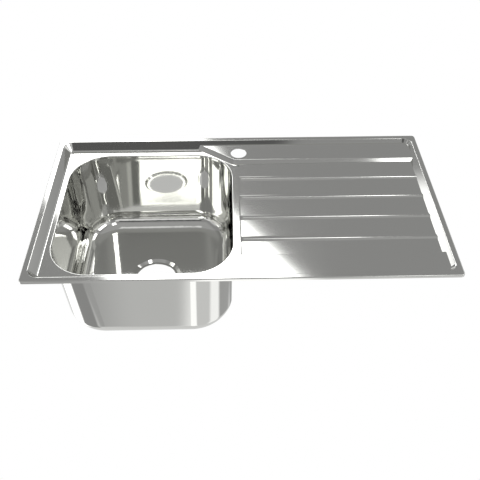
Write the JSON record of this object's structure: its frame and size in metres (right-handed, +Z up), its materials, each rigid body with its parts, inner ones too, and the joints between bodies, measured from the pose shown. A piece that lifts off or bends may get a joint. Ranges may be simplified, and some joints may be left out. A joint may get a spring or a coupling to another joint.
{
  "type": "inset kitchen sink with drainboard",
  "caption": "Inset stainless steel kitchen sink with a bowl on the left, a ribbed drainboard on the right, tap hole, waste outlet and swing clamps under the rim.",
  "frame": {"origin": "middle of the worktop cut-out, at the height of the worktop's top face", "axes": "+X along the sink from the bowl to the drainboard, +Y towards the wall, +Z up"},
  "size_m": [0.8, 0.44, 0.212],
  "materials": {
    "deck_steel": "polished stainless sheet with a fine satin grain",
    "bowl_steel": "satin-polished drawn stainless",
    "seal_foam": "matte closed-cell foam",
    "pad_rubber": "matte sound-deadening mat",
    "stiffener_steel": "plain mill finish",
    "clamp_zinc": "bright zinc plate",
    "screw_zinc": "bright zinc plate"
  },
  "bodies": {
    "sink": {"deck": "deck_steel", "bowl": "bowl_steel", "rim_seal": "seal_foam", "bowl_pad": "pad_rubber", "drainer_pad": "pad_rubber", "drainer_stiffeners": "stiffener_steel", "earth_tab": "stiffener_steel", "clamp_brackets": "clamp_zinc", "clamp_rivets": "clamp_zinc"},
    "arm_back_left": {"clamp_arm_back_left": "clamp_zinc"},
    "screw_back_left": {"clamp_screw_back_left": "screw_zinc"},
    "arm_back_middle": {"clamp_arm_back_middle": "clamp_zinc"},
    "screw_back_middle": {"clamp_screw_back_middle": "screw_zinc"},
    "arm_back_right": {"clamp_arm_back_right": "clamp_zinc"},
    "screw_back_right": {"clamp_screw_back_right": "screw_zinc"},
    "arm_front_left": {"clamp_arm_front_left": "clamp_zinc"},
    "screw_front_left": {"clamp_screw_front_left": "screw_zinc"},
    "arm_front_middle": {"clamp_arm_front_middle": "clamp_zinc"},
    "screw_front_middle": {"clamp_screw_front_middle": "screw_zinc"},
    "arm_front_right": {"clamp_arm_front_right": "clamp_zinc"},
    "screw_front_right": {"clamp_screw_front_right": "screw_zinc"}
  },
  "joints": [
    {"name": "swing_back_left", "type": "hinge", "parent": "sink", "child": "arm_back_left", "pos_m": [-0.368, 0.18, -0.032], "axis": [0, 0, -1], "range_deg": [0, 90]},
    {"name": "drive_back_left", "type": "slide", "parent": "arm_back_left", "child": "screw_back_left", "axis": [0, 0, 1], "range_m": [-0.011, 0]},
    {"name": "swing_back_middle", "type": "hinge", "parent": "sink", "child": "arm_back_middle", "pos_m": [0.15, 0.18, -0.032], "axis": [0, 0, 1], "range_deg": [0, 90]},
    {"name": "drive_back_middle", "type": "slide", "parent": "arm_back_middle", "child": "screw_back_middle", "axis": [0, 0, 1], "range_m": [-0.011, 0]},
    {"name": "swing_back_right", "type": "hinge", "parent": "sink", "child": "arm_back_right", "pos_m": [0.368, 0.18, -0.032], "axis": [0, 0, 1], "range_deg": [0, 90]},
    {"name": "drive_back_right", "type": "slide", "parent": "arm_back_right", "child": "screw_back_right", "axis": [0, 0, 1], "range_m": [-0.011, 0]},
    {"name": "swing_front_left", "type": "hinge", "parent": "sink", "child": "arm_front_left", "pos_m": [-0.368, -0.18, -0.032], "axis": [0, 0, 1], "range_deg": [0, 90]},
    {"name": "drive_front_left", "type": "slide", "parent": "arm_front_left", "child": "screw_front_left", "axis": [0, 0, 1], "range_m": [-0.011, 0]},
    {"name": "swing_front_middle", "type": "hinge", "parent": "sink", "child": "arm_front_middle", "pos_m": [0.15, -0.18, -0.032], "axis": [0, 0, -1], "range_deg": [0, 90]},
    {"name": "drive_front_middle", "type": "slide", "parent": "arm_front_middle", "child": "screw_front_middle", "axis": [0, 0, 1], "range_m": [-0.011, 0]},
    {"name": "swing_front_right", "type": "hinge", "parent": "sink", "child": "arm_front_right", "pos_m": [0.368, -0.18, -0.032], "axis": [0, 0, -1], "range_deg": [0, 90]},
    {"name": "drive_front_right", "type": "slide", "parent": "arm_front_right", "child": "screw_front_right", "axis": [0, 0, 1], "range_m": [-0.011, 0]}
  ]
}
